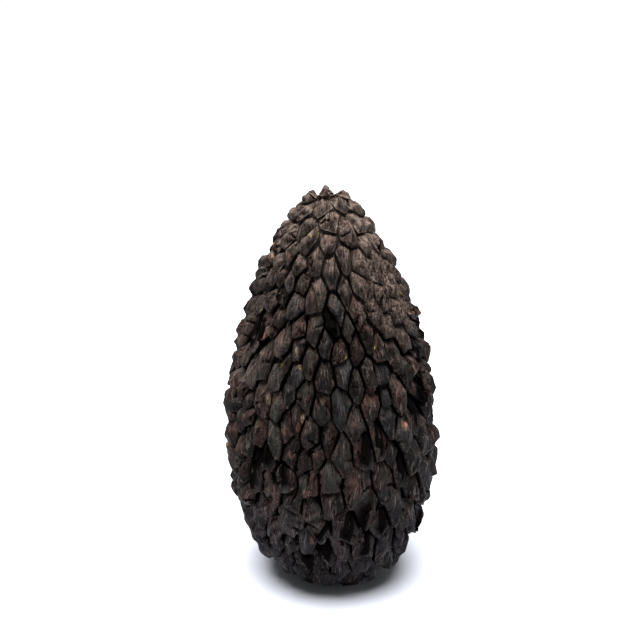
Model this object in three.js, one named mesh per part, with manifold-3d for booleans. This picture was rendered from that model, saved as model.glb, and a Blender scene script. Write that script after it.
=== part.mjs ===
// A black truffle: a tall egg whose whole skin is raised in hard, many-sided warts.
// It grew as one piece, so it is one solid. Millimetres, +Z up, with the resting spot at the origin.
//
// The warts start as seeded points spread evenly over a spheroid. The hull of the points tells which
// warts are neighbours, and each triangle of it holds one corner where three grooves meet. A wart is
// then raised from its ring of groove corners: steep flanks up to a shoulder, and facets up to a ridge.
import * as THREE from 'three';
import { ConvexHull } from 'three/addons/math/ConvexHull.js';
import { mergeVertices } from 'three/addons/utils/BufferGeometryUtils.js';
import Module from 'manifold-3d';

// The flesh under the warts.
const BODY_HEIGHT = 81.4; // from the foot to the crown
const BODY_RADIUS = 19.3; // before the taper
const DEPTH_RATIO = 0.96; // front to back, against side to side
// The radius by height, in powers of -1 at the foot to 1 at the crown.
const TAPER = [1, -0.275, -0.079, -0.042, 0.103];
const LEAN = -1.3; // how far the crown stands to one side of the foot
const LUMP_HEIGHT = 0.9; // slow swells of the whole surface
const LUMP_COUNT = 7;
const LUMP_WAVES = [2, 5]; // how fast a swell rises and falls round the body
const FOOT_LIFT = 0.7; // the foot is pressed flat this far above the surface that it rests on
const FOOT_SOFTNESS = 0.8; // how gently the foot turns into the sides

// Where the warts stand.
const WART_COUNT = 460;
const NEAREST = 2.85; // closest two middling warts may stand, side by side
const SIZE_RANGE = [0.72, 1.28]; // room kept by the smallest and the largest wart, against a middling one
const SIZE_FOOT = 1.12; // the same for all the warts near the foot
const SIZE_CROWN = 0.88; // and near the crown
const STRETCH_FOOT = 1.62; // height of a wart against its width, near the foot
const STRETCH_CROWN = 1.17; // and near the crown
const SPREAD = 1.3; // height of the spheroid on which neighbours are found, for a width of 1
const CORNER_SHARE = 0.09; // least share of each of three warts in the place of the corner between them

// The form of a wart.
const RISE_RANGE = [1.3, 2.4]; // height of a ridge above the grooves
const SHOULDER_FOOT = [0.5, 0.82]; // height of the shoulders near the foot, as a share of the ridge's
const SHOULDER_CROWN = [0.3, 0.65]; // and near the crown, where the warts are more like pyramids
const SHOULDER_SPREAD = 0.12; // how far one shoulder of a wart differs from the rest
const GROOVE_FOOT = [0.32, 0.52]; // from a groove corner in to the shoulder above it, near the foot
const GROOVE_CROWN = [0.4, 0.75]; // and near the crown
const GROOVE_SPREAD = 0.15; // how far one corner's groove differs from the rest of the wart's, as a share
const GROOVE_MOST = 0.4; // most that a groove takes of a small wart's half width
const RIDGE_RANGE = [0.06, 0.36]; // half length of a ridge, as a share of the wart's half length
const RIDGE_TURN = 0.7; // most that a ridge turns from straight down the side
const RIDGE_SHIFT = 0.16; // most that a ridge lies off the middle, as a share of the wart's half length
const TILT_FOOT = 1.0; // how far a wart's lower end stands out near the foot, like an overlapping scale
const TILT_CROWN = 0.1; // and near the crown
const OVERHANG = 0.2; // how far a wart hangs down over the groove below it, near the foot

const SEED = 20260414;
const SKIN_COLOUR = 0x3b332f;

// Seeded random numbers, so that the same truffle grows each time.

let state = SEED;

function random() {
  state = (state + 0x6d2b79f5) | 0;
  let mixed = Math.imul(state ^ (state >>> 15), 1 | state);
  mixed = (mixed + Math.imul(mixed ^ (mixed >>> 7), 61 | mixed)) ^ mixed;
  return ((mixed ^ (mixed >>> 14)) >>> 0) / 2 ** 32;
}

const between = ([low, high]) => low + (high - low) * random();

const eitherWay = (most) => between([-most, most]);

function randomDirection() {
  const z = eitherWay(1);
  const turn = eitherWay(Math.PI);
  const flat = Math.sqrt(1 - z * z);
  return new THREE.Vector3(flat * Math.cos(turn), flat * Math.sin(turn), z);
}

// The flesh: a point of its surface for each direction from the middle.

const lumps = Array.from({ length: LUMP_COUNT }, () => ({
  along: randomDirection().multiplyScalar(between(LUMP_WAVES)),
  phase: eitherWay(Math.PI),
}));

function lump(direction) {
  const waves = lumps.map(({ along, phase }) => Math.sin(along.dot(direction) + phase));
  return (LUMP_HEIGHT * waves.reduce((sum, wave) => sum + wave, 0)) / LUMP_COUNT;
}

const softMax = (a, b, softness) => (a + b + Math.hypot(a - b, softness)) / 2;

function bodyPoint(direction) {
  const taper = TAPER.reduce((sum, factor, power) => sum + factor * direction.z ** power, 0);
  const radius = taper * BODY_RADIUS + lump(direction);
  const height = (BODY_HEIGHT * (1 + direction.z)) / 2;
  const x = radius * direction.x + (LEAN * height) / BODY_HEIGHT;
  const y = radius * direction.y * DEPTH_RATIO;
  return new THREE.Vector3(x, y, softMax(height, FOOT_LIFT, FOOT_SOFTNESS));
}

const { lerp, clamp } = THREE.MathUtils;

const heightShare = (z) => clamp(z / BODY_HEIGHT, 0, 1);

// A height with the stretch of all the warts below it taken out, so that one spacing serves both ways.
function unstretched(z) {
  const change = (STRETCH_FOOT - STRETCH_CROWN) / BODY_HEIGHT;
  return -Math.log(1 - (change * z) / STRETCH_FOOT) / change;
}

// Where the warts stand: each new one keeps clear of all the others. The first is the one under the middle.
function spreadWarts() {
  const warts = [];
  const tryWart = (direction) => {
    const foot = bodyPoint(direction);
    const size = between(SIZE_RANGE) * lerp(SIZE_FOOT, SIZE_CROWN, heightShare(foot.z));
    foot.z = unstretched(foot.z);
    const clear = (wart) => wart.foot.distanceTo(foot) > (NEAREST * (wart.size + size)) / 2;
    if (warts.every(clear)) warts.push({ direction, size, foot });
  };
  tryWart(new THREE.Vector3(0, 0, -1));
  while (warts.length < WART_COUNT) tryWart(randomDirection());
  return warts.map(({ direction }) => direction.setZ(direction.z * SPREAD));
}

// The corner of the grooves between three warts: the middle of the circle through them, kept inside their
// triangle so that no wart folds over another.
function grooveCorner(triangle) {
  const sides = triangle.map((_, i) => triangle[(i + 1) % 3].distanceToSquared(triangle[(i + 2) % 3]));
  const total = sides[0] + sides[1] + sides[2];
  const shares = sides.map((side) => side * (total - 2 * side));
  const whole = shares[0] + shares[1] + shares[2];
  const corner = new THREE.Vector3();
  triangle.forEach((place, i) => corner.addScaledVector(place, Math.max(shares[i] / whole, CORNER_SHARE)));
  corner.z /= SPREAD;
  return bodyPoint(corner.normalize());
}

// The corners of all the grooves, and for each wart the ring of corners round it, anticlockwise from outside.
function growGrooves(places) {
  const faces = new ConvexHull().setFromPoints(places).faces;
  const arrivals = new Map();
  const corners = faces.map((face) => {
    const edges = [face.edge, face.edge.next, face.edge.prev];
    edges.forEach((edge) => arrivals.set(edge.head().point, edge));
    return grooveCorner(edges.map((edge) => edge.head().point));
  });
  const cornerOf = new Map(faces.map((face, index) => [face, index]));
  const rings = places.map((place) => {
    const ring = [];
    const first = arrivals.get(place);
    let edge = first;
    do {
      ring.push(cornerOf.get(edge.face));
      edge = edge.twin.prev;
    } while (edge !== first);
    return ring;
  });
  return { corners, rings };
}

// A wart's own frame: its middle, straight out of the flesh, down the side and across it. The spokes run
// from its middle to its ring of groove corners, and the reaches are as far as they go down and across.
function wartFrame(ring) {
  const middle = new THREE.Vector3();
  const out = new THREE.Vector3();
  ring.forEach((corner, i) => {
    middle.addScaledVector(corner, 1 / ring.length);
    out.add(corner.clone().cross(ring[(i + 1) % ring.length]));
  });
  out.normalize();
  const down = new THREE.Vector3(0, 0, -1).projectOnPlane(out).normalize();
  const across = out.clone().cross(down);
  const spokes = ring.map((corner) => corner.clone().sub(middle));
  const reach = (way) => Math.max(...spokes.map((spoke) => Math.abs(spoke.dot(way))));
  return { middle, out, down, across, spokes, reachDown: reach(down), reachAcross: reach(across) };
}

// The raised points of a wart: a shoulder over each corner of its ring, and the two ends of its ridge.
function wartPoints(ring) {
  const { middle, out, down, across, spokes, reachDown, reachAcross } = wartFrame(ring);
  const height = heightShare(middle.z);
  const rise = between(RISE_RANGE);
  const tilt = lerp(TILT_FOOT, TILT_CROWN, height);
  const shoulder = lerp(between(SHOULDER_FOOT), between(SHOULDER_CROWN), height);
  const groove = lerp(between(GROOVE_FOOT), between(GROOVE_CROWN), height);
  const base = middle.clone().addScaledVector(down, lerp(OVERHANG, 0, height));

  const shoulders = spokes.map((spoke) => {
    const inset = Math.min((groove * (1 + eitherWay(GROOVE_SPREAD))) / spoke.length(), GROOVE_MOST);
    const lift = rise * (shoulder + eitherWay(SHOULDER_SPREAD)) + (tilt * spoke.dot(down)) / reachDown;
    return base.clone().addScaledVector(spoke, 1 - inset).addScaledVector(out, lift);
  });

  const [shiftDown, shiftAcross] = [eitherWay(RIDGE_SHIFT), eitherWay(RIDGE_SHIFT)];
  const half = between(RIDGE_RANGE);
  const turn = eitherWay(RIDGE_TURN);
  const ridge = [-half, half].map((along) => {
    const lower = shiftDown + along * Math.cos(turn);
    const sideways = shiftAcross + along * Math.sin(turn);
    const end = base.clone().addScaledVector(down, reachDown * lower);
    return end.addScaledVector(across, reachAcross * sideways).addScaledVector(out, rise + tilt * lower);
  });
  const isLower = (spoke) =>
    (spoke.dot(down) * Math.cos(turn)) / reachDown + (spoke.dot(across) * Math.sin(turn)) / reachAcross > 0;
  return { shoulders, ridge, ridgeEnd: spokes.map((spoke) => (isLower(spoke) ? 1 : 0)) };
}

// The skin: groove corners shared by neighbours, with every wart's flanks and facets between them.
function growSkin(corners, rings) {
  const points = [...corners];
  const triangles = [];
  for (const ring of rings) {
    const { shoulders, ridge, ridgeEnd } = wartPoints(ring.map((corner) => corners[corner]));
    const shoulderAt = points.length;
    const ridgeAt = shoulderAt + shoulders.length;
    points.push(...shoulders, ...ridge);
    ring.forEach((corner, i) => {
      const j = (i + 1) % ring.length;
      const [here, next] = [shoulderAt + i, shoulderAt + j];
      const [end, nextEnd] = [ridgeAt + ridgeEnd[i], ridgeAt + ridgeEnd[j]];
      triangles.push(corner, ring[j], next, corner, next, here, here, next, end);
      if (end !== nextEnd) triangles.push(end, next, nextEnd);
    });
  }
  return new THREE.BufferGeometry().setFromPoints(points).setIndex(triangles);
}

// Booleans: three.js geometry to a solid and back.

const wasm = await Module();
wasm.setup();

function toSolid(geometry) {
  geometry.deleteAttribute('normal');
  geometry.deleteAttribute('uv');
  const merged = mergeVertices(geometry);
  const vertProperties = new Float32Array(merged.attributes.position.array);
  const triVerts = new Uint32Array(merged.index.array);
  return new wasm.Manifold(new wasm.Mesh({ numProp: 3, vertProperties, triVerts }));
}

function toGeometry(solid) {
  const { vertProperties, triVerts } = solid.getMesh();
  const geometry = new THREE.BufferGeometry();
  geometry.setAttribute('position', new THREE.BufferAttribute(vertProperties, 3));
  geometry.setIndex(new THREE.BufferAttribute(triVerts, 1));
  return geometry;
}

// The warts under the foot are worn flat where they bear on the surface, all in one plane.
function flattenFoot(skin) {
  const size = 2 * BODY_HEIGHT;
  const ground = new THREE.BoxGeometry(size, size, size).translate(0, 0, -size / 2);
  return toGeometry(toSolid(skin).subtract(toSolid(ground)));
}

const { corners, rings } = growGrooves(spreadWarts());
const skin = flattenFoot(growSkin(corners, rings));
const material = new THREE.MeshStandardMaterial({
  color: SKIN_COLOUR,
  roughness: 0.72,
  metalness: 0,
  flatShading: true,
});

const truffle = new THREE.Mesh(skin, material);
truffle.name = 'truffle';

const part = new THREE.Group();
part.add(truffle);

export default part;
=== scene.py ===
# %% [markdown]
# # A black truffle
#
# A black summer truffle is a lump of firm flesh inside a hard black skin, the peridium. As it swells
# under the ground the skin cracks into hundreds of many-sided warts, like dried mud on a ball. The
# solid model already holds the egg, its grooves and every wart with a few flat facets. This lesson
# grows that solid into a skin that can be looked at closely: plates with steep walls and slits between
# them painted black as shade, splits and chips, and a finish of streaks and dust over almost black
# brown, with painted light and shade in it.

import math

import bmesh
import bpy
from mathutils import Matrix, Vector
from mathutils.bvhtree import BVHTree


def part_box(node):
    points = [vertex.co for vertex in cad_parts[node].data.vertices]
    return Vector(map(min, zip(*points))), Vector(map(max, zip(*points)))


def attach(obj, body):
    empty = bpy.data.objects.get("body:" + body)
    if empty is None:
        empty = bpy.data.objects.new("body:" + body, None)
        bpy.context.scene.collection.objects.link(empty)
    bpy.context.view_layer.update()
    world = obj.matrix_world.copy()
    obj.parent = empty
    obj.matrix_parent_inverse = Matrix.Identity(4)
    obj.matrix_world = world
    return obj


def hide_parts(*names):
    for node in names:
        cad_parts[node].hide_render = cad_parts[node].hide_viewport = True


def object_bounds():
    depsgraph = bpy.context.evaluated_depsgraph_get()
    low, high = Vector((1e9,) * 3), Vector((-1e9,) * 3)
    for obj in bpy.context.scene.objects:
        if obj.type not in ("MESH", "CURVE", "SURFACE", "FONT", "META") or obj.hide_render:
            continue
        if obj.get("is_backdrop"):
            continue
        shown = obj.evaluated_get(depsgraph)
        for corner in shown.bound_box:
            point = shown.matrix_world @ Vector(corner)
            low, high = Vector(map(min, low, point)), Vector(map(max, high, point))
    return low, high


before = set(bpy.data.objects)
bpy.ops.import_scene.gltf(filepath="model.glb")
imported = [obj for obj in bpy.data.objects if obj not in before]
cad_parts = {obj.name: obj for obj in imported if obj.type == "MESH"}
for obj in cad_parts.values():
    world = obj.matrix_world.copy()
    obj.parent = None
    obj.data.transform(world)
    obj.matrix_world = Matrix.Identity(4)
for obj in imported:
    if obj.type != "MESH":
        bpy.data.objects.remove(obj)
cad_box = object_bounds()
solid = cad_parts["truffle"]
MM = 0.001                           # metres
low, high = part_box("truffle")
print("truffle solid, mm:", [round(side / MM, 1) for side in high - low])
print("its faces:", len(solid.data.polygons))

# %% [markdown]
# ## Two small tools
#
# Colours are written the way a paint program shows them, as sRGB hex, and Blender's sockets want
# linear light, so one function turns the one into the other. Node trees are built in code: one
# function adds any node, sets its options, and links or fills its inputs, so a tree reads from top to
# bottom like a recipe. The kinds of node that come up again and again get short names.

# %% Colour and node helpers
MATH = "ShaderNodeMath"
VECTOR = "ShaderNodeVectorMath"
RANGE = "ShaderNodeMapRange"
NOISE = "ShaderNodeTexNoise"
MIX = "ShaderNodeMix"
STORE = "GeometryNodeStoreNamedAttribute"
RECALL = "GeometryNodeInputNamedAttribute"
SURFACE = "ShaderNodeBsdfPrincipled"
SMOOTH = {"interpolation_type": "SMOOTHSTEP"}    # a range that eases in and out


def linear(hex_colour):
    """An sRGB hex colour, such as "#3b332f", as linear red, green, blue and alpha."""
    values = [int(hex_colour[i:i + 2], 16) / 255 for i in (1, 3, 5)]
    return [v / 12.92 if v <= 0.04045 else ((v + 0.055) / 1.055) ** 2.4 for v in values] + [1.0]


def add(tree, kind, inputs=(), **settings):
    """Adds a node and gives its outputs. An input is a value, an output, or a node's outputs."""
    new = tree.nodes.new(kind)
    for name, value in settings.items():
        setattr(new, name, value)
    for key, value in (inputs.items() if isinstance(inputs, dict) else enumerate(inputs)):
        if isinstance(value, bpy.types.bpy_prop_collection):
            value = next(output for output in value if output.enabled)
        if isinstance(value, bpy.types.NodeSocket):
            tree.links.new(value, new.inputs[key])
        elif value is not None:
            new.inputs[key].default_value = value
    return new.outputs


# %% [markdown]
# ## The camera
#
# The viewer stands a little above a truffle on a table and looks down on it at a bit over seventeen
# degrees, through a normal lens. Placing the camera first fixes the frame that everything is judged
# in. Depth of field stays off, so the views from other sides are sharp too.

# %% Camera
CAMERA_PLACE = Vector((-2.8, -169.0, 108.6)) * MM
CAMERA_PITCH = math.radians(17.3)
LENS = 50.0
SENSOR_WIDTH = 36.0

camera_data = bpy.data.cameras.new("camera")
camera_data.lens = LENS
camera_data.sensor_width = SENSOR_WIDTH
camera = bpy.data.objects.new("camera", camera_data)
camera.location = CAMERA_PLACE
camera.rotation_euler = (math.pi / 2 - CAMERA_PITCH, 0, 0)
bpy.context.scene.collection.objects.link(camera)
bpy.context.scene.camera = camera
print("camera stands", round((CAMERA_PLACE - (low + high) / 2).length / MM), "mm from the truffle's middle")

# %% [markdown]
# ## Telling the warts apart
#
# To carve each wart on its own, the nodes must know which faces belong together. A groove is the one
# place where two faces meet in a sharp valley, so the signed angle of an edge finds it: ridges and
# shoulders give a positive angle, and grooves a strongly negative one. `Edges to Face Groups` floods
# the faces between the grooves and numbers each flood, and those numbers are the warts. Sums over a
# group give each wart its middle and the way that it faces. Random numbers, for each wart and for
# each facet, make them differ. All of it is stored as attributes, which the carving and the material
# both read later.

# %% Nodes that find the warts
GROOVE_ANGLE = math.radians(-45)
WART_MEANS = {"wart_middle": "GeometryNodeInputPosition", "wart_facing": "GeometryNodeInputNormal"}


def find_warts(tree, mesh, seed):
    """Stores each wart's number, middle, facing and random numbers, and each facet's random number."""
    angle = add(tree, "GeometryNodeInputMeshEdgeAngle")["Signed Angle"]
    is_groove = add(tree, "FunctionNodeCompare", [angle, GROOVE_ANGLE], operation="LESS_THAN")
    mesh = add(tree, STORE, [mesh, None, "is_groove", is_groove], data_type="BOOLEAN", domain="EDGE")
    number = add(tree, "GeometryNodeEdgesToFaceGroups", [is_groove])
    mesh = add(tree, STORE, [mesh, None, "wart", number], data_type="INT", domain="FACE")

    wart = add(tree, RECALL, ["wart"], data_type="INT")
    area = add(tree, "GeometryNodeInputMeshFaceArea")
    whole = add(tree, "GeometryNodeAccumulateField", [area, wart], domain="FACE")["Total"]
    share = add(tree, MATH, [1.0, whole], operation="DIVIDE")
    for name, kind in WART_MEANS.items():
        weighted = add(tree, VECTOR, {0: add(tree, kind), "Scale": area}, operation="SCALE")
        total = add(tree, "GeometryNodeAccumulateField", [weighted, wart],
                    data_type="FLOAT_VECTOR", domain="FACE")["Total"]
        mean = add(tree, VECTOR, {0: total, "Scale": share}, operation="SCALE")
        mesh = add(tree, STORE, [mesh, None, name, mean], data_type="FLOAT_VECTOR", domain="FACE")
    lot = add(tree, "FunctionNodeRandomValue", {"ID": wart, "Seed": seed}, data_type="FLOAT_VECTOR")
    mesh = add(tree, STORE, [mesh, None, "wart_lot", lot], data_type="FLOAT_VECTOR", domain="FACE")
    facet_lot = add(tree, "FunctionNodeRandomValue", {"Seed": seed}, data_type="FLOAT")
    return add(tree, STORE, [mesh, None, "facet_lot", facet_lot], data_type="FLOAT", domain="FACE")


# %% [markdown]
# ## How high a point stands on its wart
#
# One number does most of the later work: 0 on a groove's floor, a half on the shoulder where the flank
# ends, and 1 on the ridge. It is set on the few points of the solid model and left to blend between
# them when the faces are split. A point is on a floor if a groove edge meets it. A ridge point is one
# with no floor point in any of its faces, which two averages show: faces from points, then points from
# faces.

# %% Nodes that measure the height on a wart
SHOULDER = 0.5


def measure_height(tree, mesh):
    """Stores the height share on the points: 0 in a groove, 0.5 on a shoulder, 1 on a ridge."""
    is_groove = add(tree, RECALL, ["is_groove"], data_type="BOOLEAN")
    on_floor = add(tree, "GeometryNodeFieldOnDomain", [is_groove], data_type="FLOAT", domain="POINT")
    face_mean = add(tree, "GeometryNodeFieldOnDomain", [on_floor], data_type="FLOAT", domain="FACE")
    near_floor = add(tree, "GeometryNodeFieldOnDomain", [face_mean], data_type="FLOAT", domain="POINT")
    on_ridge = add(tree, "FunctionNodeCompare", [near_floor, 0.001], operation="LESS_THAN")
    off_floor = add(tree, MATH, [1.0, on_floor], operation="SUBTRACT")
    both = add(tree, MATH, [off_floor, on_ridge], operation="ADD")
    height = add(tree, MATH, [both, SHOULDER], operation="MULTIPLY")
    return add(tree, STORE, [mesh, None, "wart_height", height], data_type="FLOAT", domain="POINT")


# %% [markdown]
# ## Carving: where a point is
#
# The real skin is never as clean as flat facets. The next cells give it plates, tiles, crumble, splits,
# chips and wear. Each effect is a field, in millimetres, and they are added up and applied in one move.
# All of them read the same few facts about a point, so these are gathered first: its place, its height
# on the wart, and how far it lies up the slope from the wart's middle. The effects also differ between
# the foot and the crown, because the foot grew deepest and was pressed, and the crown dried first. The
# bands below say between which heights on the truffle each of them comes in.

# %% Nodes that say where a point is
BANDS = {                            # mm above the table; the crown is at 83
    "Crown gaps": (52.0, 68.0),
    "Crown hoods": (54.0, 70.0),
    "Crown roofs": (48.0, 72.0),
    "Foot roofs": (26.0, 10.0),
    "Tile lean": (36.0, 56.0),
    "Foot lean": (30.0, 12.0),
    "resting spot": (0.02, 1.5),
}


def slope_directions(tree, facing):
    """The two directions that a wart's face spans: level across it, and straight up its slope."""
    side = add(tree, VECTOR, [facing, (0.0, 0.0, 1.0)], operation="CROSS_PRODUCT")
    side = add(tree, VECTOR, [side], operation="NORMALIZE")
    return side, add(tree, VECTOR, [side, facing], operation="CROSS_PRODUCT")


def find_place(tree):
    """What every effect needs to know about a point, with lengths in millimetres."""
    position = add(tree, "GeometryNodeInputPosition")
    place = add(tree, VECTOR, {0: position, "Scale": 1 / MM}, operation="SCALE")
    middle = add(tree, RECALL, ["wart_middle"], data_type="FLOAT_VECTOR")
    middle = add(tree, VECTOR, {0: middle, "Scale": 1 / MM}, operation="SCALE")
    facing = add(tree, RECALL, ["wart_facing"], data_type="FLOAT_VECTOR")
    facing = add(tree, VECTOR, [facing], operation="NORMALIZE")
    lot = add(tree, RECALL, ["wart_lot"], data_type="FLOAT_VECTOR")
    height = add(tree, RECALL, ["wart_height"], data_type="FLOAT")
    side, upward = slope_directions(tree, facing)
    spoke = add(tree, VECTOR, [place, middle], operation="SUBTRACT")
    return {
        "place": place,
        "level": add(tree, "ShaderNodeSeparateXYZ", [place])["Z"],
        "height": height,
        "flank": add(tree, RANGE, [height, 0.0, SHOULDER], **SMOOTH),
        "lot": add(tree, "ShaderNodeSeparateXYZ", [lot]),
        "facing": facing,
        "side": side,
        "upward": upward,
        "spoke": spoke,
        "ahead": add(tree, VECTOR, [spoke, upward], operation="DOT_PRODUCT")["Value"],
    }


# %% [markdown]
# ## Carving: plates and roofs
#
# Ripe warts are plates. Their walls stand almost straight up from a narrow slit, and from the brim a low
# roof rises to the ridge. A wall is made by reaching full height within a share of the flank instead of
# over all of it. The slits are narrower on the crown, and its roofs are rounded into hoods by a power.
# No two warts stand equally high, and all of them are sunk by an inset, so that the carved skin keeps
# the outline of the solid.

# %% Nodes that raise the plates
ROOF_START = 0.4                     # height share at which the roof begins
BLUNT_START = 0.8                    # and at which its tip is blunted


def raise_plates(tree, at, size):
    """How far a point moves outwards, how far up the plate's wall it is, and how wide its slit stays."""
    level = at["level"]
    height = at["height"]
    slit = add(tree, MATH, [size["Slit share"], SHOULDER], operation="MULTIPLY")
    gap = add(tree, RANGE, [level, *BANDS["Crown gaps"], 1.0, size["Crown gaps"]], **SMOOTH)
    slit = add(tree, MATH, [slit, gap], operation="MULTIPLY")
    walled = add(tree, RANGE, [height, 0.0, slit])
    straight = add(tree, RANGE, [height, 0.0, SHOULDER])
    brim = add(tree, MATH, [walled, straight], operation="SUBTRACT")
    outward = add(tree, MATH, [brim, size["Plate lift"]], operation="MULTIPLY")

    under = add(tree, RANGE, [height, ROOF_START, 1.0, 1.0, 0.0])
    power = add(tree, RANGE, [level, *BANDS["Crown hoods"], 1.0, size["Crown hoods"]])
    under = add(tree, MATH, [under, power], operation="POWER")
    roof = add(tree, RANGE, [under, 1.0, 0.0, 0.0, size["Roof lift"]])
    for band in ("Crown roofs", "Foot roofs"):
        lower = add(tree, RANGE, [level, *BANDS[band], 1.0, size[band]], **SMOOTH)
        roof = add(tree, MATH, [roof, lower], operation="MULTIPLY")
    blunt = add(tree, RANGE, [height, BLUNT_START, 1.0, 0.0, size["Blunt tips"]], **SMOOTH)
    roof = add(tree, MATH, [roof, blunt], operation="SUBTRACT")
    outward = add(tree, MATH, [outward, roof], operation="ADD")

    rise = add(tree, MATH, [at["lot"]["Z"], size["Uneven rise"]], operation="MULTIPLY")
    rise = add(tree, MATH, [rise, size["Inset"]], operation="SUBTRACT")
    outward = add(tree, MATH, [rise, walled, outward], operation="MULTIPLY_ADD")
    return outward, walled, gap


# %% [markdown]
# ## Carving: tiles
#
# Like tiles on a roof, the warts of the upper half stand out at their lower end and hang over the next
# one's head, and those near the foot do so a little. The lean grows down the slope of a wart, but only
# for a few millimetres, so that a long wart doesn't stick out. The hanging rim is ragged.

# %% Nodes that lean the tiles
LEAN_REACH = 2.5                     # mm from a wart's middle over which it leans and hangs


def lean_tiles(tree, at, size, outward, walled):
    """The outward move with the lean in it, and how far down the slope a wart's lower rim hangs."""
    leaning = [add(tree, RANGE, [at["level"], *BANDS[band], 0.0, size[band]],
                   **SMOOTH) for band in ("Tile lean", "Foot lean")]
    leaning = add(tree, MATH, leaning, operation="ADD")
    lean = add(tree, RANGE, [at["ahead"], -LEAN_REACH, LEAN_REACH, -LEAN_REACH, LEAN_REACH])
    lean = add(tree, MATH, [lean, leaning], operation="MULTIPLY")
    lean = add(tree, MATH, [lean, walled], operation="MULTIPLY")
    outward = add(tree, MATH, [outward, lean], operation="SUBTRACT")
    tooth = add(tree, NOISE, {"Vector": at["place"], "Scale": 0.35, "Detail": 0.0})
    hang = add(tree, RANGE, [at["ahead"], 0.0, -LEAN_REACH, 0.0, size["Tile hang"]])
    hang = add(tree, MATH, [hang, tooth], operation="MULTIPLY")
    hang = add(tree, MATH, [hang, walled], operation="MULTIPLY")
    return outward, hang


# %% [markdown]
# ## Carving: wear and crumble
#
# One shoulder of the truffle rubbed on a stone as it grew. There the plates are ground to half their
# height, the grooves are filled and everything is crumbs. The worn part is a ball in space with a
# frayed edge. Sound plates crumble too, but only just: small cells of the skin are tilted this way and
# that, like chipped stone, and a fine grit lies over them.

# %% Nodes that wear and crumble
WORN_PLACE = (13.5, -10.5, 65.5)     # mm, the middle of the worn shoulder
WORN_REACH = (6.0, 13.0)             # mm, fully worn inside the first and sound outside the second
FRAY = 4.0                           # mm by which the edge of the worn part strays either way
SWIRL = 1.2                          # mm by which the crumbled cells are bent out of shape


def wear(tree, at):
    """How worn a point is: 1 in the middle of the worn shoulder, and 0 on the rest of the truffle."""
    off_worn = add(tree, VECTOR, [at["place"], WORN_PLACE], operation="DISTANCE")["Value"]
    fray = add(tree, NOISE, {"Vector": at["place"], "Scale": 0.2, "Detail": 2.0})
    off_worn = add(tree, MATH, [fray, 2 * FRAY, off_worn], operation="MULTIPLY_ADD")
    off_worn = add(tree, MATH, [off_worn, -FRAY], operation="ADD")
    return add(tree, RANGE, [off_worn, *reversed(WORN_REACH)], **SMOOTH)


def crumble(tree, at, size, worn):
    """The relief of tilted cells and grit."""
    place = at["place"]
    swirl = add(tree, NOISE, {"Vector": place, "Scale": 0.8, "Detail": 2.0})["Color"]
    warped = add(tree, VECTOR, [swirl, (SWIRL, SWIRL, SWIRL), place], operation="MULTIPLY_ADD")
    warped = add(tree, VECTOR, [warped, (1.0, 1.0, 0.6)], operation="MULTIPLY")
    cell = add(tree, "ShaderNodeTexVoronoi", {"Vector": warped, "Scale": size["Crumbs per millimetre"]})
    tip = add(tree, VECTOR, [cell["Color"], (0.5, 0.5, 0.5)], operation="SUBTRACT")
    off_cell = add(tree, VECTOR, [warped, cell["Position"]], operation="SUBTRACT")
    tilt = add(tree, VECTOR, [off_cell, tip], operation="DOT_PRODUCT")["Value"]
    relief = add(tree, MATH, [tilt, size["Crumble tilt"]], operation="MULTIPLY")
    shaggy = add(tree, VECTOR, [place, (1.0, 1.0, 0.4)], operation="MULTIPLY")
    grit = add(tree, NOISE, {"Vector": shaggy, "Scale": 1.2, "Detail": 3.0})
    grit = add(tree, MATH, [grit, -0.5], operation="ADD")
    grit_depth = add(tree, RANGE, [worn, 0.0, 1.0, size["Grit depth"], size["Worn grit depth"]])
    return add(tree, MATH, [grit, grit_depth, relief], operation="MULTIPLY_ADD")


# %% [markdown]
# ## Carving: splits and chips
#
# As the skin dries, some warts split. A split runs from just past the wart's middle to its rim, in a
# random direction, opens as it goes, and wanders. Chips are bitten out of the shoulders wherever a slow
# noise is high. Both say what share of their depth is taken away, and neither touches the grooves.

# %% Nodes that split and chip
SPLIT_RUN = (-0.6, 1.6)              # mm past the wart's middle, shut at the first, open at the second
SPLIT_WANDER = 1.1                   # mm
SPLIT_WALL = 0.15                    # mm over which a split falls to its depth
BITE_NOISE = (0.56, 0.64)            # no chip under the first, a whole one over the second
BITE_TOP = 0.9                       # height share above which the ridge is never chipped


def split_warts(tree, at, size):
    """The share of a point that lies in a split."""
    turn = add(tree, MATH, [at["lot"]["X"], 2 * math.pi], operation="MULTIPLY")
    across = add(tree, "ShaderNodeVectorRotate", {
        "Vector": at["side"], "Axis": at["facing"], "Angle": turn})
    along = add(tree, VECTOR, [across, at["facing"]], operation="CROSS_PRODUCT")
    crook = add(tree, NOISE, {"Vector": at["place"], "Scale": 0.9, "Detail": 2.0})
    crook = add(tree, MATH, [crook, -0.5], operation="ADD")
    off_line = add(tree, VECTOR, [at["spoke"], across], operation="DOT_PRODUCT")["Value"]
    off_line = add(tree, MATH, [crook, SPLIT_WANDER, off_line], operation="MULTIPLY_ADD")
    off_line = add(tree, MATH, [off_line], operation="ABSOLUTE")
    down_line = add(tree, VECTOR, [at["spoke"], along], operation="DOT_PRODUCT")["Value"]
    opening = add(tree, RANGE, [down_line, *SPLIT_RUN, 0.0, size["Split width"]])
    inside = add(tree, MATH, [opening, off_line], operation="SUBTRACT")
    crack = add(tree, RANGE, [inside, 0.0, SPLIT_WALL], **SMOOTH)
    is_split = add(tree, MATH, [at["lot"]["Y"], size["Split share"]], operation="LESS_THAN")
    crack = add(tree, MATH, [crack, is_split], operation="MULTIPLY")
    return add(tree, MATH, [crack, at["flank"]], operation="MULTIPLY")


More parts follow.
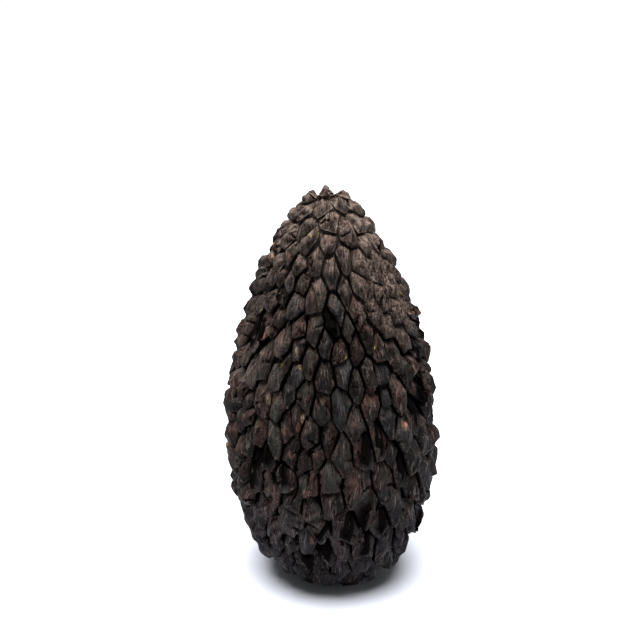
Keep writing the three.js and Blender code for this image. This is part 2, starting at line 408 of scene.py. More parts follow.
def chip_shoulders(tree, at):
    """The share of a point that is bitten away."""
    bite = add(tree, NOISE, {"Vector": at["place"], "Scale": 0.5, "Detail": 2.0})
    bite = add(tree, RANGE, [bite, *BITE_NOISE], **SMOOTH)
    rim = add(tree, RANGE, [at["height"], BITE_TOP, SHOULDER], **SMOOTH)
    bite = add(tree, MATH, [bite, rim], operation="MULTIPLY")
    return add(tree, MATH, [bite, at["flank"]], operation="MULTIPLY")


# %% [markdown]
# ## Carving: the move
#
# The effects come together here. The floors of the slits are sunk, so that they stay black, but not
# under the worn shoulder, where crumbs fill them. A slow wobble bends every straight rim and groove.
# Everything fades out at the resting spot, which stays flat where the truffle bears on the table. How
# worn and how split each point is goes along as attributes, for the material.

# %% Nodes that carve the skin
FLOOR_EDGE = 0.12                    # height share at which a slit's floor ends
WORN_HEIGHT = 0.5                    # share of a plate's height that wear leaves


def sink_floors(tree, at, worn, gap):
    """The share of a point that is a slit's floor, less where crumbs fill it and where it is narrow."""
    sound = add(tree, MATH, [1.0, worn], operation="SUBTRACT")
    floor = add(tree, RANGE, [at["height"], FLOOR_EDGE, 0.0], **SMOOTH)
    floor = add(tree, MATH, [floor, sound], operation="MULTIPLY")
    return add(tree, MATH, [floor, gap], operation="MULTIPLY")


def carve(tree, mesh, size):
    """Moves every point of the split mesh by the sum of all the effects."""
    at = find_place(tree)
    worn = wear(tree, at)
    outward, walled, gap = raise_plates(tree, at, size)
    outward, hang = lean_tiles(tree, at, size, outward, walled)
    kept = add(tree, RANGE, [worn, 0.0, 1.0, 1.0, WORN_HEIGHT])
    outward = add(tree, MATH, [outward, kept], operation="MULTIPLY")
    move = add(tree, VECTOR, {0: at["facing"], "Scale": outward}, operation="SCALE")
    hang = add(tree, VECTOR, {0: at["upward"], "Scale": hang}, operation="SCALE")
    move = add(tree, VECTOR, [move, hang], operation="SUBTRACT")

    crack = split_warts(tree, at, size)
    bite = chip_shoulders(tree, at)
    floor = sink_floors(tree, at, worn, gap)
    relief = crumble(tree, at, size, worn)
    for name, share in (("Split depth", crack), ("Chip depth", bite), ("Groove sink", floor)):
        depth = add(tree, MATH, [share, size[name]], operation="MULTIPLY")
        relief = add(tree, MATH, [relief, depth], operation="SUBTRACT")
    normal = add(tree, "GeometryNodeInputNormal")
    relief = add(tree, VECTOR, {0: normal, "Scale": relief}, operation="SCALE")
    move = add(tree, VECTOR, [move, relief], operation="ADD")

    wobble = add(tree, NOISE, {
        "Vector": at["place"], "Scale": size["Wobbles per millimetre"], "Detail": 3.0})
    wobble = add(tree, VECTOR, [wobble["Color"], (0.5, 0.5, 0.5)], operation="SUBTRACT")
    wobble = add(tree, VECTOR, {0: wobble, "Scale": size["Wobble"]}, operation="SCALE")
    move = add(tree, VECTOR, [move, wobble], operation="ADD")
    lift = add(tree, RANGE, [at["level"], *BANDS["resting spot"], 0.0, MM], **SMOOTH)
    move = add(tree, VECTOR, {0: move, "Scale": lift}, operation="SCALE")
    for name, value in (("crack", crack), ("worn", worn)):
        mesh = add(tree, STORE, [mesh, None, name, value], data_type="FLOAT", domain="POINT")
    return add(tree, "GeometryNodeSetPosition", {"Geometry": mesh, "Offset": move})


# %% [markdown]
# ## The skin's node tree
#
# The parts above come together in one tree with named sizes. It takes the solid, finds and measures
# the warts, splits every triangle into forty-eight small quads, and carves. `Realize Instances` and
# `Set Material` end it, so that what leaves is plain mesh with its finish on.

# %% The tree
SKIN_SIZES = {
    "Split levels": 3,
    "Slit share": 0.5,               # of the solid's groove width that stays open
    "Crown gaps": 0.5,               # as many times as wide on the crown
    "Plate lift": 0.8,               # mm
    "Roof lift": 1.05,               # mm
    "Crown roofs": 0.6,              # as many times as high on the crown
    "Crown hoods": 2.5,              # and rounder, 1 being flat
    "Foot roofs": 0.9,               # as many times as high near the foot
    "Blunt tips": 0.1,               # mm off every ridge
    "Uneven rise": 0.5,              # mm
    "Inset": 0.95,                   # mm
    "Tile lean": 0.18,               # mm for each mm down the slope
    "Foot lean": 0.08,               # the same near the foot
    "Tile hang": 0.8,                # mm
    "Wobble": 0.25,                  # mm
    "Wobbles per millimetre": 0.35,
    "Crumbs per millimetre": 0.5,
    "Crumble tilt": 0.15,            # mm of height for each mm away from a cell's middle
    "Worn grit depth": 1.1,          # mm
    "Grit depth": 0.15,              # mm
    "Split share": 0.5,              # of all warts
    "Split width": 0.28,             # mm, half of it
    "Split depth": 0.8,              # mm
    "Chip depth": 0.5,               # mm
    "Groove sink": 1.0,              # mm
}
SEED = 7


def build_skin_tree(finish):
    """The Geometry Nodes tree that turns the faceted solid into the carved skin."""
    tree = bpy.data.node_groups.new("truffle skin", "GeometryNodeTree")
    tree.interface.new_socket("Geometry", in_out="INPUT", socket_type="NodeSocketGeometry")
    tree.interface.new_socket("Geometry", in_out="OUTPUT", socket_type="NodeSocketGeometry")
    for name, value in SKIN_SIZES.items():
        kind = "NodeSocketInt" if isinstance(value, int) else "NodeSocketFloat"
        tree.interface.new_socket(name, in_out="INPUT", socket_type=kind)
    tree.interface.new_socket("Seed", in_out="INPUT", socket_type="NodeSocketInt")
    size = add(tree, "NodeGroupInput")
    mesh = find_warts(tree, size["Geometry"], size["Seed"])
    mesh = measure_height(tree, mesh)
    mesh = add(tree, "GeometryNodeSubdivideMesh", [mesh, size["Split levels"]])
    mesh = carve(tree, mesh, size)
    mesh = add(tree, "GeometryNodeSetShadeSmooth", {"Geometry": mesh, "Shade Smooth": True}, domain="FACE")
    mesh = add(tree, "GeometryNodeRealizeInstances", [mesh])
    mesh = add(tree, "GeometryNodeSetMaterial", {"Geometry": mesh, "Material": finish})
    add(tree, "NodeGroupOutput", [mesh])
    return tree


# %% [markdown]
# ## Growing the skin
#
# The solid stays as it is. Its mesh is loose triangles, so a copy has its doubled points merged first,
# and carries the tree as a modifier. The tree makes more triangles than a shelf part should have, and
# spreads them evenly. `Decimate` then takes them from flat places and leaves them in creases. The
# evaluated object becomes a plain mesh, which stands in for the solid from here on. Its finish has only
# a name so far, since the chips in it need a skin to sit on.

# %% Merge the points
MERGE_REACH = 1e-6                   # m, far less than any facet

shell = bpy.data.meshes.new("skin start")
work = bmesh.new()
work.from_mesh(solid.data)
bmesh.ops.remove_doubles(work, verts=work.verts, dist=MERGE_REACH)
work.to_mesh(shell)
work.free()
shell.materials.clear()
grower = bpy.data.objects.new("skin start", shell)
bpy.context.scene.collection.objects.link(grower)
print("merged:", len(shell.vertices), "points,", len(shell.polygons), "triangles")

# %% Attach the tree and the thinning
TRIANGLES = 192000

peridium = bpy.data.materials.new("truffle peridium")
skin_tree = build_skin_tree(peridium)
print("skin tree has", len(skin_tree.nodes), "nodes")
growth = grower.modifiers.new("skin", "NODES")
growth.node_group = skin_tree
for socket in skin_tree.interface.items_tree:
    if socket.in_out == "INPUT" and socket.name in SKIN_SIZES:
        growth[socket.identifier] = SKIN_SIZES[socket.name]
    elif socket.name == "Seed":
        growth[socket.identifier] = SEED
# A triangle is split into three quads, and each quad into four at every further level.
split_triangles = len(shell.polygons) * 6 * 4 ** (SKIN_SIZES["Split levels"] - 1)
thinning = grower.modifiers.new("thinning", "DECIMATE")
thinning.ratio = TRIANGLES / split_triangles
thinning.use_collapse_triangulate = True
print("thinned to", round(100 * thinning.ratio), "% of", split_triangles, "triangles")

# %% Grow the skin
SHARP_ANGLE = math.radians(20)

evaluated = grower.evaluated_get(bpy.context.evaluated_depsgraph_get())
skin_mesh = bpy.data.meshes.new_from_object(evaluated)
skin_mesh.name = "truffle_skin"
skin = bpy.data.objects.new("truffle_skin", skin_mesh)
bpy.context.scene.collection.objects.link(skin)
grower.modifiers.clear()
bpy.data.objects.remove(grower)
skin_mesh.set_sharp_from_angle(angle=SHARP_ANGLE)
skin_mesh.materials.clear()
skin_mesh.materials.append(peridium)
warts = {value.value for value in skin_mesh.attributes["wart"].data}
print("skin:", len(skin_mesh.polygons), "triangles,", len(warts), "warts")

# %% [markdown]
# ## The finish
#
# The peridium is dead, dry skin with much pigment in it, so it is almost black, and a little brown
# where it is thin. It is matt, with the faint gloss of bark: an IOR of 1.45, a roughness near a half,
# and a specular level far under the usual half, since the pores swallow light. Dust, rubbed rims, pale
# hairlines and a few chips down to the tan flesh lift it from plain black. Some of the colour is painted
# light and shade: black slits, warts lighter up their slope, a darker foot, a slate tint low down for the
# floor's bluish light, and part of the dust on what looks up.
#
# The material is grown from the inside out, one short function for each layer. First it reads what it
# knows about a point: the place in millimetres, and the attributes that the carving has stored.

# %% Nodes that read the skin
ATTRIBUTE = "ShaderNodeAttribute"
COLOUR_A = 6                         # a Mix node's colours go by number, since the names A and B
COLOUR_B = 7                         # stand for its other kinds of input too


def read_skin(tree):
    """What the shader knows about a point, with lengths in millimetres."""
    place = add(tree, "ShaderNodeTexCoord")["Object"]
    place = add(tree, VECTOR, {0: place, "Scale": 1 / MM}, operation="SCALE")
    middle = add(tree, ATTRIBUTE, attribute_name="wart_middle")["Vector"]
    facing = add(tree, ATTRIBUTE, attribute_name="wart_facing")["Vector"]
    lot_vector = add(tree, ATTRIBUTE, attribute_name="wart_lot")["Vector"]
    return {
        "place": place,
        "level": add(tree, "ShaderNodeSeparateXYZ", [place])["Z"],
        "middle": add(tree, VECTOR, {0: middle, "Scale": 1 / MM}, operation="SCALE"),
        "facing": add(tree, VECTOR, [facing], operation="NORMALIZE"),
        "lot_vector": lot_vector,
        "lot": add(tree, "ShaderNodeSeparateXYZ", [lot_vector]),
        "facet_lot": add(tree, ATTRIBUTE, attribute_name="facet_lot")["Fac"],
        "height": add(tree, ATTRIBUTE, attribute_name="wart_height")["Fac"],
        "crack": add(tree, ATTRIBUTE, attribute_name="crack")["Fac"],
        "worn": add(tree, ATTRIBUTE, attribute_name="worn")["Fac"],
    }


# %% [markdown]
# ## Finish: streaks
#
# The grain of a wart is too fine to model. Streaks of a third to nearly one millimetre run from its
# ridge to its rim. The noise that draws them is read in each wart's own frame: turned a little, spread
# as it goes down the slope, and stretched along it. Each wart's random numbers shift the noise, so that
# no two warts carry the same streaks. Grain and hanging fuzz are read in plain space, since dust and
# fibres don't care where one wart ends.

# %% Nodes that draw the patterns
STREAK_TURN = 0.2                    # radians either way
STREAK_FAN = (-3.5, 3.5, 0.9, 1.7)   # mm up the slope, and how narrow the streaks are there
STREAK_STRETCH = 0.2                 # the share of a length along the slope that the noise sees
STREAK_DEPTH = 0.3                   # and of one into the wart
WART_SHIFT = (60.0, 60.0, 60.0)      # mm, how far apart the noise of two warts may lie


def draw_patterns(tree, at):
    """The noises that the layers are made from, and how far down its wart a point lies."""
    spoke = add(tree, VECTOR, [at["place"], at["middle"]], operation="SUBTRACT")
    turn = add(tree, RANGE, [at["lot"]["X"], 0.0, 1.0, -STREAK_TURN, STREAK_TURN])
    spoke = add(tree, "ShaderNodeVectorRotate", {"Vector": spoke, "Axis": at["facing"], "Angle": turn})
    side, upward = slope_directions(tree, at["facing"])
    aside = add(tree, VECTOR, [spoke, side], operation="DOT_PRODUCT")["Value"]
    ahead = add(tree, VECTOR, [spoke, upward], operation="DOT_PRODUCT")["Value"]
    outward = add(tree, VECTOR, [spoke, at["facing"]], operation="DOT_PRODUCT")["Value"]
    down = add(tree, MATH, [ahead, -1.0], operation="MULTIPLY")
    fan = add(tree, RANGE, [ahead, *STREAK_FAN])
    aside = add(tree, MATH, [aside, fan], operation="MULTIPLY")
    ahead = add(tree, MATH, [ahead, STREAK_STRETCH], operation="MULTIPLY")
    outward = add(tree, MATH, [outward, STREAK_DEPTH], operation="MULTIPLY")
    streak = add(tree, "ShaderNodeCombineXYZ", [aside, ahead, outward])
    streak = add(tree, VECTOR, [at["lot_vector"], WART_SHIFT, streak], operation="MULTIPLY_ADD")
    hair = add(tree, VECTOR, [streak, (1.0, 0.4, 1.0)], operation="MULTIPLY")
    hanging = add(tree, VECTOR, [at["place"], (1.0, 1.0, 0.18)], operation="MULTIPLY")
    return {
        "down": down,
        "mottle": add(tree, NOISE, {"Vector": streak, "Scale": 0.5, "Detail": 3.0}),
        "broad": add(tree, NOISE, {"Vector": streak, "Scale": 0.9, "Detail": 2.0}),
        "fine": add(tree, NOISE, {"Vector": streak, "Scale": 2.6, "Detail": 3.0, "Roughness": 0.6}),
        "hair": add(tree, NOISE, {"Vector": hair, "Scale": 4.2, "Detail": 1.0}),
        "grain": add(tree, NOISE, {"Vector": at["place"], "Scale": 2.2, "Detail": 2.0, "Roughness": 0.6}),
        "fuzz": add(tree, NOISE, {
            "Vector": hanging, "Scale": 2.6, "Detail": 2.0, "Roughness": 0.6, "Distortion": 0.4}),
    }


# %% [markdown]
# ## Finish: the skin itself
#
# The pigment is not the same everywhere. Patches turn from olive to brown, and some warts are a cold
# grey. Low down all of it turns slaty, which is painted light: the bluish light that the floor throws up.
# How much of the tint shows through the black is drawn for each facet and each wart. It is more on the
# upper half of a wart's slope and less on the lower half, which is painted light and shade from above;
# it is less in the streaks, and least at the foot, which is painted shade near the table.

# %% Nodes that tint the skin
BLACK = "#060505"
OLIVE = "#2e2d28"
BROWN = "#402c27"
GREY = "#2b2b2c"
FLOOR_LIGHT_SLATE = "#322e35"
FLOOR_LIGHT_FOOT = (32.0, 8.0, 0.0, 0.9)   # mm above the table, and the share of slate at each: painted bluish floor light
FOOT_SHADE = (0.0, 18.0, 0.3, 1.0)    # the same for how much of any tint shows; less at the foot is painted shade


def tint_skin(tree, at, pattern):
    """The colour of bare skin: a tint by patch, wart and height, and how far it shows through the black,
    with painted light and shade.
    """
    warm = add(tree, RANGE, [pattern["mottle"], 0.42, 0.58], **SMOOTH)
    grey = add(tree, RANGE, [at["lot"]["Y"], 0.6, 0.9])
    # painted light: a slate tint low down for the bluish light that the floor throws up
    floor_light_tint = add(tree, RANGE, [at["level"], *FLOOR_LIGHT_FOOT], **SMOOTH)
    tint = linear(OLIVE)
    for share, other in ((warm, BROWN), (grey, GREY), (floor_light_tint, FLOOR_LIGHT_SLATE)):
        tint = add(tree, MIX, {"Factor": share, COLOUR_A: tint, COLOUR_B: linear(other)}, data_type="RGBA")

    tone = add(tree, MATH, [at["facet_lot"], at["lot"]["Z"]], operation="ADD")
    tone = add(tree, RANGE, [tone, 0.35, 1.65, 0.04, 1.0])
    # painted light and shade: lighter up each wart's slope, darker down it
    slope_light_and_shade = add(tree, RANGE, [pattern["down"], -2.5, 2.5, 1.2, 0.6])
    streaked = add(tree, RANGE, [pattern["fine"], 0.38, 0.62, 0.38, 1.0], **SMOOTH)
    # painted shade: less tint, so darker skin, near the table
    foot_shade = add(tree, RANGE, [at["level"], *FOOT_SHADE])
    for share in (slope_light_and_shade, streaked, foot_shade):
        tone = add(tree, MATH, [tone, share], operation="MULTIPLY")
    return add(tree, MIX, {"Factor": tone, COLOUR_A: linear(BLACK), COLOUR_B: tint}, data_type="RGBA")


# %% [markdown]
# ## Finish: hairlines and rubbed rims
#
# Where the outer cells have dried and split, pale hairlines run down the broader streaks. And the
# shoulders of the plates have been brushed, by soil and then by a hand, so they are rubbed to a paler
# brown here and there.

# %% Nodes that draw hairlines and rub the rims
HAIRLINE = "#6c605a"
HAIRLINE_SHARE = 0.4                 # of its colour that a hairline shows at the most
RUBBED = "#53443e"
RUBBED_SHARE = 0.35


def rub_rims(tree, at, pattern, colour):
    """Adds pale hairlines, in bands, and rubs the shoulders brown."""
    band = add(tree, RANGE, [pattern["broad"], 0.44, 0.6], **SMOOTH)
    pale = add(tree, RANGE, [pattern["hair"], 0.56, 0.66], **SMOOTH)
    pale = add(tree, MATH, [pale, band], operation="MULTIPLY")
    pale = add(tree, MATH, [pale, HAIRLINE_SHARE], operation="MULTIPLY")
    colour = add(tree, MIX, {"Factor": pale, COLOUR_A: colour, COLOUR_B: linear(HAIRLINE)},
                 data_type="RGBA")

    rim = add(tree, MATH, [at["height"], -SHOULDER], operation="ADD")
    rim = add(tree, MATH, [rim], operation="ABSOLUTE")
    rim = add(tree, RANGE, [rim, 0.1, 0.03], **SMOOTH)
    patchy = add(tree, RANGE, [pattern["grain"], 0.45, 0.6], **SMOOTH)
    rim = add(tree, MATH, [rim, patchy], operation="MULTIPLY")
    rim = add(tree, MATH, [rim, RUBBED_SHARE], operation="MULTIPLY")
    return add(tree, MIX, {"Factor": rim, COLOUR_A: colour, COLOUR_B: linear(RUBBED)}, data_type="RGBA")


# %% [markdown]
# ## Finish: dust and soil, partly painted top light
#
# Dust and dried soil lie on whatever looks up, and most on the crown. There the pale layer is partly
# painted top light, standing in for the light from above. It clings to the worn shoulder whichever way
# it looks, and a thin coat of it lightens a patch of one flank. The layer isn't even: straw-coloured
# fibres stand out from the brown soil between them, along the streaks on sound skin and hanging down as
# fuzz where it is worn.

# %% Nodes that lay the dust and the painted top light
SOIL = "#342b26"
FIBRE = "#706057"
FLANK_PATCH_PLACE = (-17.0, -9.0, 55.0)     # mm, the middle of a patch on one flank that the layer lightens
FLANK_PATCH_REACH = (16.0, 4.0)             # mm, none of the layer outside the first and most inside the second
FLANK_PATCH_SHARE = 0.2
CROWN_DUST_AND_LIGHT = (58.0, 80.0, 0.06, 1.0)     # mm above the table, and the share of dust, partly painted top light, at each
WALL_DUST = 0.3                      # share that clings to what doesn't look up
WORN_DUST = 0.7                      # share added on the worn shoulder
MOST_DUST = 0.9                      # share that the thickest dust hides


def lay_dust_and_top_light(tree, at, pattern, colour):
    """Covers what looks up and the crown with dust and fibres, partly as painted top light, and the worn
    shoulder and one flank with the same layer.
    """
    # On what looks up, and most on the crown, the pale layer is partly painted top light.
    normal = add(tree, "ShaderNodeNewGeometry")["Normal"]
    up = add(tree, "ShaderNodeSeparateXYZ", [normal])["Z"]
    up = add(tree, RANGE, [up, 0.0, 0.9], **SMOOTH)
    up = add(tree, MATH, [up, 1 - WALL_DUST, WALL_DUST], operation="MULTIPLY_ADD")
    crown = add(tree, RANGE, [at["level"], *CROWN_DUST_AND_LIGHT], **SMOOTH)
    dust_and_top_light = add(tree, MATH, [up, crown], operation="MULTIPLY")
    dust_and_top_light = add(tree, MATH, [at["worn"], WORN_DUST, dust_and_top_light], operation="MULTIPLY_ADD")
    # A patch of one flank is made lighter with a thin coat of the layer.
    off_flank_patch = add(tree, VECTOR, [at["place"], FLANK_PATCH_PLACE], operation="DISTANCE")["Value"]
    flank_patch = add(tree, RANGE, [off_flank_patch, *FLANK_PATCH_REACH, 0.0, FLANK_PATCH_SHARE], **SMOOTH)
    dust_and_top_light = add(tree, MATH, [dust_and_top_light, flank_patch], operation="ADD")
    dust_and_top_light = add(tree, MATH, [dust_and_top_light, MOST_DUST], operation="MINIMUM")
    # A mix of two numbers has them as its third and fourth inputs.
    fibre = add(tree, MIX, [at["worn"], None, pattern["fine"], pattern["fuzz"]])
    fibre = add(tree, RANGE, [fibre, 0.38, 0.64], **SMOOTH)
    layer = add(tree, MIX, {"Factor": fibre, COLOUR_A: linear(SOIL), COLOUR_B: linear(FIBRE)},
                data_type="RGBA")
    return add(tree, MIX, {"Factor": dust_and_top_light, COLOUR_A: colour, COLOUR_B: layer}, data_type="RGBA")


# %% [markdown]
# ## Finish: chips
#
# Here and there a knock has taken the skin off a ridge or a rim, and the flesh shows: tan when fresh,
# then rusty, ochre or straw as it dries. The chips that give this truffle its face are written down as
# the viewer sees them, and a ray from the camera finds each one's spot, so that it stays on the skin when
# a size changes. Each is an egg of its own width and height. More are drawn at random all round. Grain
# makes their edges ragged, and the fine streaks run through them too.

# %% Where the chips are
FRAME_PIXELS = 640                   # across the view, and down it
CHIPS = [                            # across and down the view, half width and half height in mm, flesh
    (273, 243, 0.3, 1.2, "tan"),
    (272, 255, 0.3, 1.0, "tan"),
    (310, 234, 0.3, 0.7, "ochre"),
    (318, 234, 0.3, 0.9, "ochre"),
    (342, 192, 0.3, 0.9, "tan"),
    (330, 238, 1.1, 0.9, "brown"),
    (284, 290, 0.3, 1.1, "straw"),
    (350, 300, 1.3, 0.9, "brown"),
    (264, 309, 0.8, 0.4, "ochre"),
    (399, 292, 0.6, 1.0, "ochre"),
    (409, 313, 0.3, 0.6, "tan"),
    (325, 318, 0.9, 1.1, "brown"),
    (372, 327, 0.9, 0.7, "brown"),
    (262, 335, 0.5, 0.8, "rust"),
    (261, 350, 0.4, 1.5, "straw"),
    (296, 350, 0.4, 1.3, "straw"),
    (346, 357, 0.4, 0.5, "ochre"),
    (374, 347, 0.4, 0.6, "ochre"),
    (299, 366, 0.4, 1.1, "ochre"),
    (282, 364, 0.4, 1.1, "ochre"),
    (268, 398, 0.4, 1.5, "straw"),
    (303, 419, 0.6, 0.9, "tan"),
    (298, 427, 0.6, 0.9, "rust"),
    (404, 424, 0.6, 1.7, "rust"),
    (355, 447, 0.5, 1.7, "brown"),
    (290, 455, 0.9, 0.8, "brown"),
    (284, 430, 0.3, 1.7, "brown"),
    (305, 494, 1.1, 0.9, "brown"),
]


def find_chips(mesh):
    """Looks from the camera at each chip, and gives its place on the skin in mm, its sizes and flesh."""
    skin_points = [point.co for point in mesh.vertices]
    surface = BVHTree.FromPolygons(skin_points, [face.vertices for face in mesh.polygons])
    found = []
    for across, down, *look in CHIPS:
        aside = (across + 0.5) / FRAME_PIXELS - 0.5
        above = 0.5 - (down + 0.5) / FRAME_PIXELS
        aim = camera.rotation_euler.to_matrix() @ Vector((aside, above, -LENS / SENSOR_WIDTH))
        place = surface.ray_cast(CAMERA_PLACE, aim.normalized())[0]
        if place is not None:
            found.append(([round(value / MM, 1) for value in place], *look))
    return found


chips = find_chips(skin_mesh)
print("chips found on the skin:", len(chips), "of", len(CHIPS))

# %% Nodes that show the chips
FLESH = {"tan": "#a8866c", "rust": "#7c5040", "ochre": "#8c7a44", "straw": "#807060", "brown": "#543e36"}
CHIP_RAGGED = (0.5, 0.5, 0.9)        # mm by which grain shifts a chip's edge, over its whole range
CHIP_EDGE = (1.4, 0.4)               # none outside the first share of its half width, all inside the second
MORE_CHIPS = 0.22                    # cells on each millimetre that the other chips are drawn from
CHIP_SHARE = 0.3                     # of those cells hold one


def show_chips(tree, at, pattern, colour):
    """Shows flesh at the known places, and in small spots all round, each drawn out down the slope."""
    ragged = add(tree, VECTOR, [pattern["grain"], CHIP_RAGGED, at["place"]], operation="MULTIPLY_ADD")
    torn = add(tree, RANGE, [pattern["fine"], 0.4, 0.6, 0.25, 0.95], **SMOOTH)
    for place, half_width, half_height, flesh in chips:
        halves = (half_width, half_width, half_height)
        reach = [1 / half for half in halves]
        start = [-(middle + shift / 2) / half for middle, shift, half in zip(place, CHIP_RAGGED, halves)]
        off = add(tree, VECTOR, [ragged, reach, start], operation="MULTIPLY_ADD")
        off = add(tree, VECTOR, [off], operation="LENGTH")["Value"]
        chip = add(tree, RANGE, [off, *CHIP_EDGE, 0.0, 1.0], **SMOOTH)
        chip = add(tree, MATH, [chip, torn], operation="MULTIPLY")
        colour = add(tree, MIX, {"Factor": chip, COLOUR_A: colour, COLOUR_B: linear(FLESH[flesh])},
                     data_type="RGBA")

    drawn_out = add(tree, VECTOR, [ragged, (1.0, 1.0, 0.4)], operation="MULTIPLY")
    cell = add(tree, "ShaderNodeTexVoronoi", {"Vector": drawn_out, "Scale": MORE_CHIPS})
    cell_lot = add(tree, "ShaderNodeSeparateColor", [cell["Color"]])
    chip = add(tree, RANGE, [cell["Distance"], 0.16, 0.04], **SMOOTH)
    few = add(tree, MATH, [cell_lot["Red"], CHIP_SHARE], operation="LESS_THAN")
    chip = add(tree, MATH, [chip, few], operation="MULTIPLY")
    chip = add(tree, MATH, [chip, torn], operation="MULTIPLY")
    flesh = add(tree, MIX, {"Factor": cell_lot["Green"], COLOUR_A: linear(FLESH["rust"]),
                            COLOUR_B: linear(FLESH["ochre"])}, data_type="RGBA")
    return add(tree, MIX, {"Factor": chip, COLOUR_A: colour, COLOUR_B: flesh}, data_type="RGBA")


# %% [markdown]
# ## Finish: slits painted black as shade, and fine relief
#
# The slits and splits are painted black as shade: they get a shader of their own, near black and with
# no gloss at all. Its share rises below a wart's shoulder. It is less under the worn shoulder and on the
# crown, where crumbs and dust fill the grooves. Some of the broad streaks are drawn as drying cracks and
# are painted black with shade as well. Last comes the relief that the mesh is too coarse for, as a bump
# of streaks, grain and fuzz.

# %% Nodes that blacken the slits and raise the grain
SLIT_EDGE = (0.38, 0.18)             # height share at which a wall turns black, and where it is wholly so
WORN_SLITS = 0.4                     # as many times as black on the worn shoulder
CROWN_SLITS = (62.0, 80.0, 1.0, 0.35)    # mm above the table, and how black at each
BUMP_DEPTHS = {"broad": 0.4, "fine": 0.2, "grain": 0.3}    # mm
FUZZ_DEPTHS = (0.15, 1.6)            # mm, on sound and on worn skin


def blacken_slits(tree, at, pattern):
    """The share of a point that is painted black as shade, in a slit or split."""
    # The black below a wart's shoulder is painted shade.
    slit_shade = add(tree, RANGE, [at["height"], *SLIT_EDGE], **SMOOTH)
    sound = add(tree, RANGE, [at["worn"], 0.0, 1.0, 1.0, WORN_SLITS])
    open_slits = add(tree, RANGE, [at["level"], *CROWN_SLITS], **SMOOTH)
    slit_shade = add(tree, MATH, [slit_shade, sound], operation="MULTIPLY")
    slit_shade = add(tree, MATH, [slit_shade, open_slits], operation="MULTIPLY")
    # Thin black lines along some broad streaks: the painted shade of drying cracks.
    split = add(tree, MATH, [pattern["broad"], -0.5], operation="ADD")
    split = add(tree, MATH, [split], operation="ABSOLUTE")
    split = add(tree, RANGE, [split, 0.02, 0.006], **SMOOTH)
    some = add(tree, RANGE, [pattern["mottle"], 0.5, 0.56])
    split = add(tree, MATH, [split, some], operation="MULTIPLY")
    split = add(tree, MATH, [split, at["crack"]], operation="MAXIMUM")
    return add(tree, MATH, [slit_shade, split], operation="MAXIMUM")


def raise_grain(tree, at, pattern):
    """The normal, tilted by relief that is finer than the mesh."""
    bump = 0.0
    for name, depth in BUMP_DEPTHS.items():
        bump = add(tree, MATH, [pattern[name], depth, bump], operation="MULTIPLY_ADD")
    fuzzy = add(tree, RANGE, [at["worn"], 0.0, 1.0, *FUZZ_DEPTHS])
    bump = add(tree, MATH, [pattern["fuzz"], fuzzy, bump], operation="MULTIPLY_ADD")
    return add(tree, "ShaderNodeBump", {"Strength": 1.0, "Distance": MM, "Height": bump})


# %% [markdown]
# ## The peridium
#
# The layers come together. The constants that make it dry skin, and neither stone nor rubber, sit on
# the shader's own sockets.

# %% Peridium material
SLIT_SHADE = "#080606"                     # painted shade: the near black of the slits' floors
SKIN_IOR = 1.45
SKIN_SPECULAR = 0.07
SKIN_ROUGHNESS = (0.4, 0.62)         # on smooth and on grainy skin


def make_peridium(material):
    """Dry black fungus skin, grown and then brushed: matt, streaked, dusty above, with few tan chips, and
    with painted light and shade.
    """
    material.use_nodes = True
    tree = material.node_tree
    tree.nodes.clear()
    at = read_skin(tree)
    pattern = draw_patterns(tree, at)
    colour = tint_skin(tree, at, pattern)
    colour = rub_rims(tree, at, pattern, colour)
    colour = lay_dust_and_top_light(tree, at, pattern, colour)
    colour = show_chips(tree, at, pattern, colour)
    roughness = add(tree, RANGE, [pattern["grain"], 0.3, 0.7, *SKIN_ROUGHNESS])
    skin = add(tree, SURFACE, {
        "Base Color": colour, "Roughness": roughness, "IOR": SKIN_IOR,
        "Specular IOR Level": SKIN_SPECULAR, "Normal": raise_grain(tree, at, pattern)})
    # This near-black shader without gloss is painted shade in the slits and splits.
    slit = add(tree, SURFACE, {
        "Base Color": linear(SLIT_SHADE), "Roughness": 1.0, "IOR": SKIN_IOR, "Specular IOR Level": 0.0})
    both = add(tree, "ShaderNodeMixShader", [blacken_slits(tree, at, pattern), skin, slit])
    add(tree, "ShaderNodeOutputMaterial", [both])


make_peridium(peridium)
print("peridium has", len(peridium.node_tree.nodes), "nodes")

# %% Hand the skin over
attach(skin, "root")
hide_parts("truffle")

# %% [markdown]
# ## Table and light
#
# A shop would show a truffle like this one on white acrylic, under a big softbox. The floor is one
# large pale sheet. The world is a white studio: as bright as the sheet near the horizon, so that no edge
# shows behind the truffle, and dimmer higher up, where the unlit room is. The softbox hangs overhead, a
# few degrees towards the viewer and to the left, so that each wart catches light on its upper facets and
# the grooves stay dark.

# %% Floor
FLOOR_REACH = 3.0                    # m either way


def make_sheet():
    """White matt acrylic, cast flat: a soft pale surface with hardly any gloss."""
    material = bpy.data.materials.new("white acrylic sheet")
    material.use_nodes = True
    tree = material.node_tree
    tree.nodes.clear()
    sheet = add(tree, SURFACE, {
        "Base Color": linear("#c9ccd4"), "Roughness": 0.6, "Specular IOR Level": 0.2})
    add(tree, "ShaderNodeOutputMaterial", [sheet])
    return material


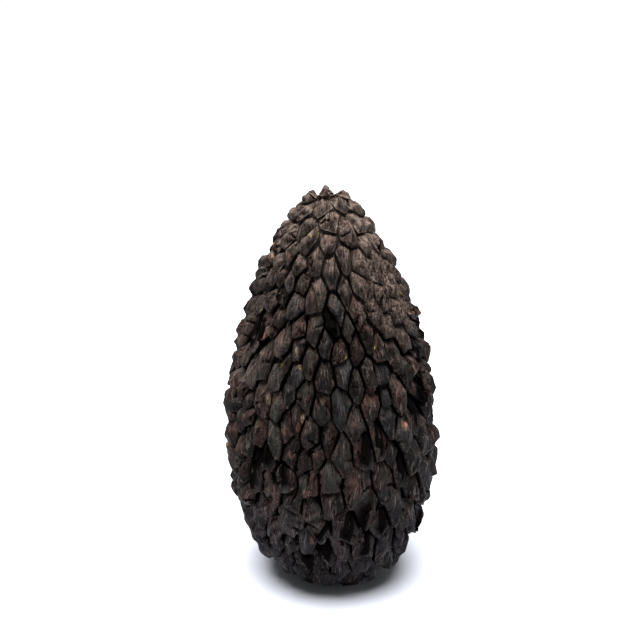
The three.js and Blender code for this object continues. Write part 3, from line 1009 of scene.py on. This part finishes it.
floor_mesh = bpy.data.meshes.new("floor")
corners = [(x * FLOOR_REACH, y * FLOOR_REACH, 0) for x, y in ((-1, -1), (1, -1), (1, 1), (-1, 1))]
floor_mesh.from_pydata(corners, [], [(0, 1, 2, 3)])
floor_mesh.materials.append(make_sheet())
floor = bpy.data.objects.new("floor", floor_mesh)
bpy.context.scene.collection.objects.link(floor)
floor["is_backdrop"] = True
print("floor is", round(2 * FLOOR_REACH, 1), "m wide")

# %% World and softbox
HORIZON_LIGHT = 1.03
SKY_LIGHT = 0.17
HORIZON_EDGE = (0.06, 0.14)         # height on a ball of radius 1 where the bright wall falls off
SOFTBOX_TILT = math.radians(8)      # towards the viewer's side
SOFTBOX_LEAN = math.radians(-2)     # towards the left
SOFTBOX_SPREAD = math.radians(48)   # how wide it looks from the truffle
SOFTBOX_STRENGTH = 11.2             # watts on each square metre

world = bpy.data.worlds.new("white studio")
world.use_nodes = True
bpy.context.scene.world = world
tree = world.node_tree
tree.nodes.clear()
direction = add(tree, "ShaderNodeTexCoord")["Generated"]
elevation = add(tree, "ShaderNodeSeparateXYZ", [direction])["Z"]
strength = add(tree, RANGE, [elevation, *HORIZON_EDGE, HORIZON_LIGHT, SKY_LIGHT], **SMOOTH)
sky = add(tree, "ShaderNodeBackground", {"Color": (1.0, 1.0, 1.0, 1.0), "Strength": strength})
add(tree, "ShaderNodeOutputWorld", [sky])

softbox_data = bpy.data.lights.new("softbox", "SUN")
softbox_data.angle = SOFTBOX_SPREAD
softbox_data.energy = SOFTBOX_STRENGTH
softbox = bpy.data.objects.new("softbox", softbox_data)
softbox.rotation_euler = (SOFTBOX_TILT, SOFTBOX_LEAN, 0)
bpy.context.scene.collection.objects.link(softbox)
bpy.context.scene.view_settings.view_transform = "Standard"
print("softbox looks", round(math.degrees(SOFTBOX_SPREAD)), "degrees wide")

# %% [markdown]
# ## The size of the solid and the skin
#
# The skin must keep to the solid's size, or a wart would bump things on the shelf. Both boxes are
# printed, to be compared.

# %% Sizes
skin_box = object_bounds()
for name, box in (("solid", cad_box), ("skin", skin_box)):
    print(name, "mm:", [[round(value / MM, 2) for value in corner] for corner in box])
